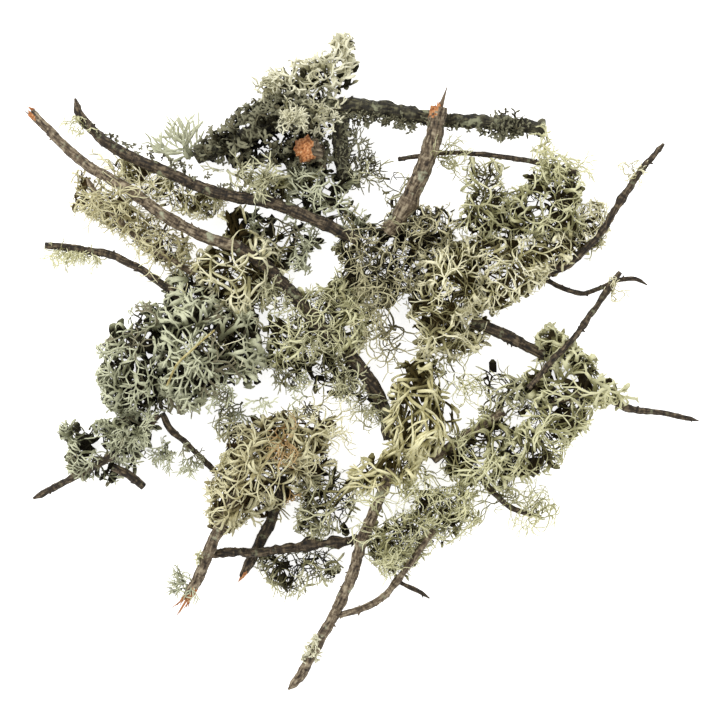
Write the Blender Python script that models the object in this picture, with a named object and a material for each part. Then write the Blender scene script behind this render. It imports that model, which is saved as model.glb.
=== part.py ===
"""A tangle of lichen-covered twigs, lying flat on the ground.

X runs to the right, Y away from the reader and Z up. Twigs are tapered tubes laid over each other at
their own heights. Each clump of lichen is one lumpy, flat-bottomed solid that reaches its lobes' tips,
and it is hollowed where a twig passes through it. All lengths below are in millimetres.
"""
import math

import bmesh
import bpy
from mathutils import Matrix, Vector, noise
from mathutils.geometry import interpolate_bezier

MM = 0.001                # metres in a millimetre
GAP = 0.35                # clearance left between pieces that touch
TWIG_SIDES = 8            # sides of a twig's cross-section
STATION = 13.0            # spacing of a twig's cross-sections along its length
SHRINK = 0.45             # how far a clump's outline stands back from its drawn border
LUMP = 0.07               # share of a clump's radius that its lumps move the surface
LUMP_SIZE = 17.0          # distance from one lump to the next
FOOT_HEIGHT = 0.0         # height of the surface that the tangle lies on
SPECK = 0.02              # corners closer than this are one corner
SHARP_ANGLE = 50.0        # degrees from which an edge of a twig is kept sharp

BARK = (0.120, 0.098, 0.080)
DARK_BARK = (0.045, 0.034, 0.026)
BROKEN_WOOD = (0.420, 0.150, 0.050)
STRAW = (0.420, 0.300, 0.140)
OAKMOSS = (0.340, 0.330, 0.210)
ANTLER = (0.170, 0.200, 0.170)
LEAFY_CRUST = (0.090, 0.085, 0.055)
WIRY = (0.180, 0.150, 0.105)
BARK_ROUGHNESS = 0.85
LICHEN_ROUGHNESS = 0.9

# Twigs: colour, then the centreline from the bare end inwards as (x, y, height, radius).
TWIGS = {
    "long_twig": (BARK, [
        (-166, 124, 20, 2.2), (-150, 108, 23, 2.4), (-137, 97, 26, 2.6), (-118, 86, 30, 2.8),
        (-97, 71, 32, 2.9), (-80, 62, 31, 2.9), (-64, 57, 29, 3.0)]),
    "spine_twig": (BARK, [
        (-62.5, 56.4, 28.8, 3.0), (-50, 48, 27, 3.2), (-38, 36, 25, 3.3), (-24, 20, 22, 3.5),
        (-8, 4, 20, 3.6), (3, -10, 19, 3.5), (10, -24, 17, 3.3), (12, -37, 15, 2.8)]),
    "side_twig": (DARK_BARK, [
        (-138, 91, 21, 1.4), (-133, 82, 20, 1.6), (-126, 74, 19, 1.7), (-118, 66, 18, 1.7),
        (-108, 59, 17, 1.7), (-96, 50, 16, 1.7), (-86, 45, 15, 1.6)]),
    "second_twig": (BARK, [
        (-144, 131, 20, 1.6), (-141, 122, 21, 2.3), (-132, 112, 23, 2.6), (-121, 104, 26, 2.7),
        (-98, 94, 30, 2.8), (-75, 84, 33, 2.9), (-42, 77, 34, 3.0), (-16, 66, 31, 3.0),
        (-5, 61, 28, 2.8)]),
    "left_twig": (DARK_BARK, [
        (-160, 58, 7, 1.5), (-150, 57, 8, 1.9), (-126, 53, 10, 1.9), (-112, 46, 12, 1.9),
        (-96, 35, 15, 1.9), (-86, 26, 16, 1.8)]),
    "top_bar": (DARK_BARK, [
        (90, 116, 18, 3.1), (68, 119, 20, 3.3), (43, 120, 21, 3.4), (18, 124, 21, 3.8),
        (-10, 127, 20, 4.0), (-37, 122, 19, 4.0), (-62, 111, 17, 3.8), (-82, 102, 14, 3.4)]),
    "hanging_stub": (DARK_BARK, [
        (-10, 94, 12, 3.4), (-12, 107, 15, 4.0), (-10.5, 121.5, 19, 3.8)]),
    "broken_knot": (BROKEN_WOOD, [
        (-29, 105, 37, 5.0), (-26, 104, 27, 5.0), (-24, 104, 14, 4.4)]),
    "thick_stub": (BARK, [
        (37, 126, 33, 4.1), (35.5, 115, 33, 4.2), (33, 105, 32, 4.3), (29, 95, 30, 4.3),
        (21.5, 78, 26, 4.2), (13, 66, 22, 3.8)]),
    "thin_bar": (DARK_BARK, [
        (19, 101, 17, 1.1), (44, 104, 18, 1.2), (69, 102, 18, 1.3), (91, 98, 19, 1.3),
        (106, 94, 20, 1.2)]),
    "upper_right_twig": (BARK, [
        (149, 108, 27, 1.4), (138, 95, 27, 1.6), (128, 80, 26, 1.8), (117, 63, 24, 1.9),
        (104, 50, 21, 2.0), (92, 44, 18, 1.9)]),
    "curved_twig": (DARK_BARK, [
        (142, 38, 11, 0.9), (136, 41, 12, 1.1), (127, 40.5, 12, 1.2), (116, 35.5, 12, 1.2),
        (107, 34, 13, 1.2), (94, 39, 16, 1.3), (86, 44, 15, 1.2)]),
    "diagonal_twig": (DARK_BARK, [
        (128, 44.5, 17, 1.3), (122, 36, 17, 1.4), (113, 23, 20, 1.5), (104, 11, 25, 1.5),
        (93, 0, 31, 1.5), (83, -12, 32, 1.4)]),
    "far_right_twig": (DARK_BARK, [
        (168, -30, 8, 0.9), (150, -26, 10, 1.5), (134, -24, 13, 1.7), (122, -19, 16, 1.7),
        (108, -17, 18, 1.8), (90, -23, 16, 1.7)]),
    "lower_right_twig": (DARK_BARK, [
        (89, -78, 5, 1.2), (77, -75, 7, 1.4), (68, -69, 10, 1.4), (60, -60, 12, 1.3)]),
    "bottom_twig": (BARK, [
        (-38, -165, 5, 1.6), (-32, -158, 6, 2.6), (-22, -140, 9, 2.7), (-13, -123, 12, 2.8),
        (-5, -105, 17, 2.8), (-1, -90, 21, 2.8), (6, -73, 23, 2.7), (13, -56, 23, 2.6)]),
    "bottom_side_twig": (BARK, [
        (34, -86, 17, 1.5), (21, -104, 13, 1.7), (10, -118, 11, 1.8), (0, -123.5, 11, 1.8),
        (-10.5, -126.8, 11.5, 1.6)]),
    "bottom_twiglet": (DARK_BARK, [
        (33, -119, 8, 0.9), (26, -114.5, 9, 1.0), (18.5, -111, 10.5, 1.0)]),
    "broken_twig": (BARK, [
        (-88, -117, 12, 2.5), (-82, -107, 15, 2.9), (-76, -92, 20, 3.0), (-70, -80, 22, 2.9),
        (-63, -64, 22, 2.7)]),
    "cross_twig": (BARK, [
        (-78, -96, 13, 2.1), (-53, -95.5, 13.4, 2.2), (-33, -93, 13.4, 2.3), (-10, -90, 13.2, 2.2),
        (2, -88, 13, 2.1)]),
    "dark_twig": (DARK_BARK, [
        (-61.5, -108.5, 4, 1.2), (-58, -102, 5.5, 2.6), (-52, -91, 7.4, 2.8), (-46, -78, 8, 2.8),
        (-40, -60, 10, 2.7)]),
    "lower_left_twig": (DARK_BARK, [
        (-166, -69, 5, 1.7), (-147, -59, 9, 1.8), (-130, -50, 14, 2.0), (-114, -38, 17, 2.1),
        (-104, -28, 19, 2.0)]),
    "lower_left_stub": (DARK_BARK, [
        (-112, -62, 6, 2.0), (-118, -57, 8, 2.2), (-126, -53, 8, 2.0)]),
    "thin_dark_twig": (DARK_BARK, [
        (-76, -54, 7, 1.2), (-89, -41, 11, 1.5), (-96, -35, 13, 1.5), (-101, -26, 14, 1.5)]),
    "right_centre_twig": (DARK_BARK, [
        (90, 3, 14, 2.3), (76, 10, 17, 2.9), (66, 15, 18, 3.0), (56, 19, 16, 2.8)]),
    "centre_right_twig": (DARK_BARK, [
        (70, -25, 18, 2.3), (50, -38, 16, 2.5), (36, -48, 13, 2.3)]),
    "grass_stem": (STRAW, [
        (-75, 14, 46, 0.5), (-84, 6, 48.5, 0.6), (-92, -2, 48, 0.6), (-97, -12, 44, 0.5)]),
}

# Clumps: colour, lowest and highest level, centre, then the border as (x, y), in order round the centre.
CLUMPS = {
    "top_plume": (LEAFY_CRUST, 3, 33, (-20, 143), [
        (-52, 139), (-46, 144), (-38, 148), (-28, 150), (-19, 154), (-14, 163), (-8, 165), (-4, 160),
        (-5, 151), (-1, 147), (-2, 141), (-9, 136), (-14, 132.5), (-32, 132.5), (-48, 134.5)]),
    "leafy_crust": (LEAFY_CRUST, 0, 33, (-52, 114), [
        (-88, 104), (-80, 112), (-70, 120), (-60, 128), (-48, 133), (-32, 131), (-17, 131), (-17, 118),
        (-18, 98), (-34, 97.5), (-48, 98), (-62, 99), (-76, 100)]),
    "upper_antler_clump": (ANTLER, 0, 31, (-20, 84), [
        (-40, 96), (-34, 96.5), (-18, 96.5), (-6, 94), (-1, 91), (-8, 86), (-9, 81), (-3, 76),
        (2, 71.5), (-3, 68), (-16, 68), (-30, 73), (-36, 80), (-38.5, 88)]),
    "folded_clump": (OAKMOSS, 10, 35, (-52, 86), [
        (-66, 84), (-60, 90), (-50, 93), (-43, 95), (-39, 88), (-37, 80), (-46, 79), (-58, 81)]),
    "inner_antler_clump": (ANTLER, 0, 29, (-42, 63), [
        (-57, 77), (-45, 76), (-31, 71), (-22, 66), (-18, 60), (-27, 56), (-28, 45), (-35, 46),
        (-40, 50), (-46, 58), (-52, 62), (-57, 68)]),
    "pale_strap_clump": (OAKMOSS, 0, 38, (-61, 46), [
        (-70, 76), (-63, 78), (-58, 76), (-57, 68), (-52, 62), (-46, 58), (-40, 50), (-37, 44),
        (-41, 36), (-46, 30), (-52, 24), (-64, 24), (-72, 29), (-80, 38), (-86, 46), (-84, 54),
        (-73, 58), (-70, 65)]),
    "wispy_clump": (OAKMOSS, 8, 32, (-102, 87), [
        (-135, 104), (-122, 101), (-108, 98), (-92, 92), (-80, 87), (-69, 83), (-70, 78), (-76, 72),
        (-86, 72), (-96, 76), (-112, 86), (-128, 96)]),
    "fringe_clump": (OAKMOSS, 0, 26, (-120, 75), [
        (-147, 98), (-139, 94), (-132, 90), (-118, 82), (-106, 75), (-92, 66), (-85, 58), (-88, 50),
        (-90, 46.5), (-98, 47), (-108, 54), (-119, 61), (-130, 68), (-140, 74), (-148, 78), (-143, 86)]),
    "blue_mass": (ANTLER, 0, 47, (-80, 10), [
        (-97, 45.5), (-89, 44.5), (-81, 37), (-73, 28), (-64, 23), (-53, 23), (-51, 12), (-49, -3),
        (-52, -12), (-62, -11), (-72, -15), (-79, -20), (-84, -27), (-92, -27), (-100, -25), (-101, -3),
        (-101, 10), (-101, 26), (-99, 36)]),
    "left_antler_clump": (ANTLER, 0, 38, (-114, 0), [
        (-102, 28), (-110, 30), (-116, 28), (-118, 20), (-126, 18), (-129, 11), (-136, 7), (-130, 2),
        (-134, -8), (-132, -15), (-130, -21), (-128, -25), (-122, -27.5), (-112, -27.5), (-102, -27),
        (-102, -3), (-102, 10)]),
    "dark_tail": (LEAFY_CRUST, 0, 20, (-70, -30), [
        (-79, -22), (-71, -20), (-64, -26), (-64.5, -32), (-67, -38), (-71, -40), (-77, -32)]),
    "lower_left_clump": (ANTLER, 0, 33, (-126, -43), [
        (-153, -33), (-146, -30), (-138, -33), (-133, -29), (-122, -29.5), (-110, -29), (-103, -30),
        (-106, -37), (-109, -45), (-113, -54), (-120, -56), (-126, -62), (-133, -58), (-142, -59),
        (-148, -56), (-149, -46), (-145, -41), (-151, -38)]),
    "wiry_clump": (WIRY, 0, 46, (12, 54), [
        (-13, 64), (-3, 67.5), (8, 70.5), (16, 73), (24, 76), (31, 78), (38, 76), (42, 79), (45, 72),
        (48, 66), (42, 60), (29, 55), (28, 50), (27, 38), (18, 30), (8, 27), (0, 32), (-8, 36),
        (-14, 42), (-11, 50), (-15, 56)]),
    "centre_clump": (OAKMOSS, 0, 33, (-26, 14), [
        (-35, 32), (-28, 37), (-20, 37), (-14, 41), (-8, 35), (0, 31), (7, 26), (3, 16), (-1, 8),
        (-6, 1), (-18, 3), (-30, -2), (-40, -5), (-48, -4), (-48, 8), (-50, 22), (-41, 20), (-34, 21)]),
    "spine_fuzz": (WIRY, 0, 29, (-14, -9), [
        (-47, -6.5), (-40, -6), (-30, -3), (-18, 2), (-7, 0), (0, -6), (6, -15), (9.5, -24), (3, -24),
        (-5, -21), (-14, -18), (-24, -14), (-34, -13), (-43, -13)]),
    "oakmoss_fan": (OAKMOSS, 0, 47, (-48, -54), [
        (-64, -32), (-52, -28), (-36, -24), (-21, -28), (-13, -30), (-17, -37), (-18, -46), (-14, -52),
        (-23, -57), (-34, -60), (-36, -67), (-39, -76), (-45, -80), (-58, -80), (-66, -85), (-74, -83),
        (-79, -77), (-77, -68), (-79, -61), (-74, -54), (-70, -44)]),
    "dark_green_clump": (OAKMOSS, 0, 31, (-20, -73), [
        (-33, -61), (-22, -58), (-13, -54.5), (-10, -60), (-4, -67), (-5, -76), (-8, -86), (-22, -89),
        (-34, -88), (-35, -80), (-32, -69)]),
    "lower_fringe": (OAKMOSS, 0, 22, (-32, -103), [
        (-54, -98), (-48, -96), (-30, -93), (-15, -92), (-8, -95), (-12, -103), (-15, -110),
        (-26, -112), (-34, -117), (-43, -118), (-46, -112), (-52, -106)]),
    "net_clump": (OAKMOSS, 0, 33, (30, -84), [
        (2, -83), (10, -79), (22, -76), (28, -66), (38, -63), (46, -62.5), (56, -65), (54, -73),
        (59, -80), (52, -87), (44, -91), (36, -93), (28, -98), (24, -105), (19, -110), (10, -107),
        (3, -100), (0, -92)]),
    "yellow_strap_clump": (OAKMOSS, 0, 48, (27, -27), [
        (18, -2), (27, 1), (37, 0), (38, -10), (40, -18), (46, -22), (48, -30), (44, -36), (38, -44),
        (30, -50), (20, -46), (13, -41), (11, -27), (14, -14)]),
    "strap_tail": (OAKMOSS, 5, 37, (8, -56), [
        (-2, -50), (6, -49), (13, -42.5), (20, -47.5), (29, -51.5), (27, -58), (16, -62), (7, -64),
        (-1, -66), (-7, -61), (-7, -54)]),
    "arch_clump": (OAKMOSS, 6, 25, (14, 92), [
        (-4, 95), (2, 101), (8, 101), (14, 98), (20, 94), (25, 91), (21, 85), (18, 79), (15, 74),
        (11, 74), (11.5, 80), (11.5, 85), (8, 88), (2, 91)]),
    "middle_right_clump": (OAKMOSS, 0, 49, (43, 32), [
        (29.5, 54), (42, 59), (49, 60), (57, 52), (58.5, 40), (58, 28), (62, 20), (62, 10), (56, 4),
        (48, 1), (38, 1.5), (27, 2), (27, 12), (22, 20), (21, 30), (28, 37), (29, 49)]),
    "right_clump": (OAKMOSS, 0, 49, (76, 45), [
        (50, 61), (60, 63), (72, 62), (84, 62), (98, 61), (107, 63), (108, 56), (103, 49), (96, 44),
        (90, 40), (82, 34), (74, 28), (66, 23), (59, 26), (59.5, 40), (58, 52)]),
    "curtain_clump": (OAKMOSS, 5, 42, (59, 79), [
        (47, 70), (50, 78), (51, 90), (50, 96), (53, 102), (60, 100), (66, 102), (70, 97), (69, 90),
        (72, 85), (70, 76), (70, 64), (60, 64), (49, 64)]),
    "top_right_clump": (OAKMOSS, 0, 44, (91, 79), [
        (72.5, 86), (82, 88), (83, 95), (92, 97), (101, 97), (108, 93), (109, 84), (108, 75),
        (107.5, 64), (98, 62), (84, 63), (71, 63), (71, 75)]),
    "twig_fringe": (OAKMOSS, 8, 30, (115, 67), [
        (110, 79), (116, 81), (121, 78), (123, 70), (121, 62), (118, 56), (112, 53), (109, 57),
        (108.5, 66), (109.5, 74)]),
    "right_lobes": (OAKMOSS, 0, 37, (101, -8), [
        (86, 14), (93, 19), (97, 15), (106, 9), (110, 4), (116, 2), (117, -6), (121, -9), (129, -11),
        (135, -16), (138, -21), (128, -23), (118, -23), (110, -20.5), (100, -20), (90, -20), (82, -18),
        (80, -10), (85, 2)]),
    "grey_clump": (ANTLER, 0, 33, (69, -14), [
        (59, -2), (64, 0), (72, -5), (79, -9), (81, -18), (80, -27), (72, -28), (64, -27), (58, -26),
        (61, -18), (58, -10)]),
    "lower_right_clump": (OAKMOSS, 0, 45, (87, -38), [
        (82, -20), (92, -21), (104, -21.5), (113, -22), (115, -28), (110, -34), (103, -40), (101, -48),
        (96, -52), (88, -56), (80, -60), (73, -57), (72, -46), (73, -36), (80, -28)]),
    "dark_right_clump": (OAKMOSS, 0, 34, (58, -46), [
        (53, -31), (60, -28.5), (72, -29), (72.5, -36), (71, -46), (72, -58), (77, -66), (68, -65),
        (58, -62), (48, -61.5), (39, -54), (39, -46), (45, -38), (50, -34)]),
}

# The share of its outline, and the share of its height, at each ring of a clump from its foot up.
CLUMP_PROFILE = [(0.90, 0.0), (1.0, 0.30), (0.90, 0.74), (0.52, 1.0)]


def clear_scene():
    for old in list(bpy.data.objects):
        bpy.data.objects.remove(old, do_unlink=True)


def material(name, colour, roughness):
    found = bpy.data.materials.get(name)
    if found:
        return found
    made = bpy.data.materials.new(name)
    made.use_nodes = True
    shader = made.node_tree.nodes["Principled BSDF"]
    shader.inputs["Base Color"].default_value = (*colour, 1.0)
    shader.inputs["Roughness"].default_value = roughness
    shader.inputs["Metallic"].default_value = 0.0
    return made


def smooth_route(points):
    """Stations about STATION apart on a smooth curve through the points, each as (place, radius)."""
    places = [Vector(p[:3]) for p in points]
    last = len(places) - 1
    stations = []
    for i in range(last):
        a, b = places[i], places[i + 1]
        before, after = places[max(i - 1, 0)], places[min(i + 2, last)]
        steps = max(1, round((b - a).length / STATION))
        curve = interpolate_bezier(a, a + (b - before) / 6, b - (after - a) / 6, b, steps + 1)
        for k in range(steps):
            share = k / steps
            stations.append((curve[k], points[i][3] * (1 - share) + points[i + 1][3] * share))
    stations.append((places[last], points[last][3]))
    return stations


def tube(points, spare):
    """A closed tapered tube along a route, spare wider all round than the twig's own radius."""
    stations = smooth_route(points)
    last = len(stations) - 1
    bm = bmesh.new()
    rings = []
    facing = None
    for i, (place, radius) in enumerate(stations):
        ahead = (stations[min(i + 1, last)][0] - stations[max(i - 1, 0)][0]).normalized()
        facing = ahead.to_track_quat("Z", "Y") if facing is None else turned(facing, ahead)
        end = i in (0, last)
        push = ahead * spare * (-1 if i == 0 else 1) if end else Vector()
        placed = Matrix.Translation((place + push) * MM) @ facing.to_matrix().to_4x4()
        made = bmesh.ops.create_circle(bm, segments=TWIG_SIDES, radius=(radius + spare) * MM, cap_ends=end,
                                       cap_tris=end, matrix=placed)
        rim = [v for v in made["verts"] if (v.co - placed.translation).length > radius * MM / 2]
        rings.append(rim)
    for lower, upper in zip(rings, rings[1:]):
        edges = [e for ring in (lower, upper) for e in ring_edges(ring)]
        bmesh.ops.bridge_loops(bm, edges=edges)
    bmesh.ops.recalc_face_normals(bm, faces=bm.faces)
    return bm


def turned(facing, ahead):
    """The same cross-section turned the shortest way to look ahead, so the tube doesn't twist."""
    old = facing @ Vector((0, 0, 1))
    return old.rotation_difference(ahead) @ facing


def ring_edges(ring):
    members = set(ring)
    return {e for v in ring for e in v.link_edges if e.other_vert(v) in members}


def clump_shape(low, high, centre, border):
    """A lumpy dome with a flat foot, whose rings are the border drawn in towards the centre."""
    bm = bmesh.new()
    middle = Vector((centre[0], centre[1]))
    rings = []
    for share, level in CLUMP_PROFILE:
        ring = []
        for corner in border:
            arm = Vector(corner) - middle
            reach = (arm.length - SHRINK) * share
            spot = middle + arm.normalized() * reach
            height = low + (high - low) * level
            lump = noise.noise(Vector((spot.x, spot.y, height)) / LUMP_SIZE)
            inward = reach * LUMP * (abs(lump) if share < 1 else 0.0)
            spot -= arm.normalized() * inward
            rise = (high - low) * LUMP * lump if level == 1.0 else 0.0
            ring.append(bm.verts.new((spot.x * MM, spot.y * MM, (height + rise) * MM)))
        rings.append(ring)
    count = len(border)
    for lower, upper in zip(rings, rings[1:]):
        for k in range(count):
            bm.faces.new((lower[k], lower[(k + 1) % count], upper[(k + 1) % count], upper[k]))
    bm.faces.new(rings[0])
    crown = bm.verts.new((middle.x * MM, middle.y * MM, high * MM))
    for k in range(count):
        bm.faces.new((rings[-1][k], rings[-1][(k + 1) % count], crown))
    bmesh.ops.recalc_face_normals(bm, faces=bm.faces)
    return bm


def place_object(name, bm, colour, roughness):
    mesh = bpy.data.meshes.new(name)
    bm.to_mesh(mesh)
    bm.free()
    made = bpy.data.objects.new(name, mesh)
    bpy.context.scene.collection.objects.link(made)
    mesh.materials.append(material(name + "_finish", colour, roughness))
    return made


def near(one, other):
    """True where the two objects' boxes come within the gap of each other."""
    room = GAP * MM
    for axis in range(3):
        a = [v.co[axis] for v in one.data.vertices]
        b = [v.co[axis] for v in other.data.vertices]
        if min(a) > max(b) + room or min(b) > max(a) + room:
            return False
    return True


def hollow_out(clump, cutters):
    """Cuts each twig's way through the clump, and keeps the largest piece that is left."""
    for cutter in cutters:
        if not near(clump, cutter):
            continue
        cut = clump.modifiers.new("way_through", "BOOLEAN")
        cut.operation = "DIFFERENCE"
        cut.solver = "EXACT"
        cut.object = cutter
        graph = bpy.context.evaluated_depsgraph_get()
        graph.update()
        shaped = bpy.data.meshes.new_from_object(clump.evaluated_get(graph))
        clump.modifiers.clear()
        clump.data = shaped
    bm = bmesh.new()
    bm.from_mesh(clump.data)
    bmesh.ops.triangulate(bm, faces=bm.faces)
    bmesh.ops.remove_doubles(bm, verts=bm.verts, dist=SPECK * MM)
    bmesh.ops.dissolve_degenerate(bm, edges=bm.edges, dist=SPECK * MM)
    bmesh.ops.triangulate(bm, faces=bm.faces)
    keep_largest(bm)
    bm.to_mesh(clump.data)
    bm.free()


def keep_largest(bm):
    waiting = set(bm.verts)
    islands = []
    while waiting:
        island = {waiting.pop()}
        front = list(island)
        while front:
            for edge in front.pop().link_edges:
                for v in edge.verts:
                    if v in waiting:
                        waiting.discard(v)
                        island.add(v)
                        front.append(v)
        islands.append(island)
    islands.sort(key=len)
    for island in islands[:-1]:
        bmesh.ops.delete(bm, geom=list(island), context="VERTS")


def centre_on_origin(objects):
    """Moves everything so that the origin is under the middle of the whole tangle's box."""
    corners = [v.co for made in objects for v in made.data.vertices]
    low = Vector([min(c[i] for c in corners) for i in range(3)])
    high = Vector([max(c[i] for c in corners) for i in range(3)])
    shift = Vector((-(low.x + high.x) / 2, -(low.y + high.y) / 2, FOOT_HEIGHT * MM - low.z))
    for made in objects:
        made.data.transform(Matrix.Translation(shift))


def main():
    clear_scene()
    twigs = []
    cutters = []
    for name, (colour, route) in TWIGS.items():
        made = place_object(name, tube(route, 0.0), colour, BARK_ROUGHNESS)
        made.data.shade_smooth()
        made.data.set_sharp_from_angle(angle=math.radians(SHARP_ANGLE))
        twigs.append(made)
        cutters.append(place_object(name + "_cutter", tube(route, GAP), colour, BARK_ROUGHNESS))
    clumps = []
    for name, (colour, low, high, centre, border) in CLUMPS.items():
        made = place_object(name, clump_shape(low, high, centre, border), colour, LICHEN_ROUGHNESS)
        hollow_out(made, cutters)
        clumps.append(made)
    for cutter in cutters:
        bpy.data.objects.remove(cutter, do_unlink=True)
    centre_on_origin(twigs + clumps)


main()
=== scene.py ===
"""The looks of a tangle of lichen-covered twigs, grown round its packed construction model.

Each twig gets its bark along the line of its packed tube. Each packed lichen clump is replaced by forked
lobes that grow from holdfasts inside it, fork again and again, and keep within its border.
Lengths inside the growing code are in millimetres, and meshes are in metres.
"""

import math
from functools import lru_cache
from typing import NamedTuple

import bmesh
import bpy
import numpy as np
from bpy.props import FloatProperty, FloatVectorProperty, IntProperty, PointerProperty
from mathutils import Matrix, Vector, noise
from mathutils.bvhtree import BVHTree


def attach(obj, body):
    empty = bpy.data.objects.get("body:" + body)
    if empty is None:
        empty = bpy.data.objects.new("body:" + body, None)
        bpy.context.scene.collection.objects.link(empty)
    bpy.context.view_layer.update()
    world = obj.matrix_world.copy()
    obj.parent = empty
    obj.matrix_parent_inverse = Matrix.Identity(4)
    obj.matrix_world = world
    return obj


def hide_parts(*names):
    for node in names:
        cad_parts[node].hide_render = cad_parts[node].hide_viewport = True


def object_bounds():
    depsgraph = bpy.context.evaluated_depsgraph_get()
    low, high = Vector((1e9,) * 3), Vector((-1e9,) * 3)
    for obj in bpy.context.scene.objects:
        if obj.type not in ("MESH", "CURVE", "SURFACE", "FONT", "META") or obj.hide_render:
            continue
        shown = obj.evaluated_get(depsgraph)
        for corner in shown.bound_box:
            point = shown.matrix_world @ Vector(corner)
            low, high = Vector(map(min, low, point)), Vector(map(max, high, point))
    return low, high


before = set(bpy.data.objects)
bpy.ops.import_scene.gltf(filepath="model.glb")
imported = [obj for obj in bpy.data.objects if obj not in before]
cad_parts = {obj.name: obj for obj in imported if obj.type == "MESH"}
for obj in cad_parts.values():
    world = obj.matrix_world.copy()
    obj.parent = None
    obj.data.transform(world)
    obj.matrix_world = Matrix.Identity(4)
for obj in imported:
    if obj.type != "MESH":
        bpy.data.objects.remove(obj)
cad_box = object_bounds()

bl_info = {
    "name": "Lichen Tangle",
    "version": (1, 0, 0),
    "blender": (4, 5, 0),
    "location": "3D View > Sidebar > Lichen",
    "description": "Grows bark and lichen round a packed tangle of twigs",
    "category": "Add Mesh",
}

MM = 0.001                # metres in a millimetre
CELL = 1.0                # spacing of the plan maps
MARGIN = 14.0             # how far the plan maps reach past the tangle
FAR = 99.0                # more than any distance from a border
LEAST_SIDES = 7           # fewest sides of a packed tube
UP = np.array((0.0, 0.0, 1.0))

# A twig that shows lies in a valley in the lichen, and a hidden one is covered.
VALLEY_FOOT = 0.6         # how far under the twig's middle the valley starts, in radii
VALLEY_SLOPE = 1.8        # its rise for each millimetre away from the twig
VALLEY_REACH = 16.0       # how far out from the twig's middle it goes
COVER_WIDTH = 2.5         # how far to each side of a hidden twig its cover reaches
COVER = 4.0               # how high lichen may stand over a hidden twig


# ---------------------------------------------------------------- colours and nodes

def linear(hex_colour, alpha=1.0):
    """A colour written as sRGB hex, as linear red, green, blue and alpha."""
    channels = [int(hex_colour[i:i + 2], 16) / 255 for i in (1, 3, 5)]
    return (*[c / 12.92 if c <= 0.04045 else ((c + 0.055) / 1.055) ** 2.4 for c in channels], alpha)


def add(tree, kind, inputs=None, **settings):
    """Adds a node, sets its settings, and fills each input with a value or links it to an output."""
    made = tree.nodes.new(kind)
    for name, value in settings.items():
        setattr(made, name, value)
    for name, value in (inputs or {}).items():
        if isinstance(value, bpy.types.NodeSocket):
            tree.links.new(value, made.inputs[name])
        else:
            made.inputs[name].default_value = value
    return made


def ramp(tree, factor, stops):
    """A colour ramp through the stops, each a position and a linear colour."""
    made = add(tree, "ShaderNodeValToRGB", {"Fac": factor})
    band = made.color_ramp
    while len(band.elements) < len(stops):
        band.elements.new(0.5)
    for element, (position, colour) in zip(band.elements, stops):
        element.position = position
        element.color = colour
    return made.outputs["Color"]


def per_metre(millimetres):
    """The scale of a texture whose features are that many millimetres apart."""
    return 1000.0 / millimetres


def new_material(name):
    """A material with nothing in its node tree, and that tree."""
    made = bpy.data.materials.new(name)
    made.use_nodes = True
    made.node_tree.nodes.clear()
    return made, made.node_tree


def show(tree, inputs):
    """Ends a material's tree in a surface that takes these inputs."""
    surface = add(tree, "ShaderNodeBsdfPrincipled", inputs).outputs["BSDF"]
    add(tree, "ShaderNodeOutputMaterial", {"Surface": surface})


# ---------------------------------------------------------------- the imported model, read as maps

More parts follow.
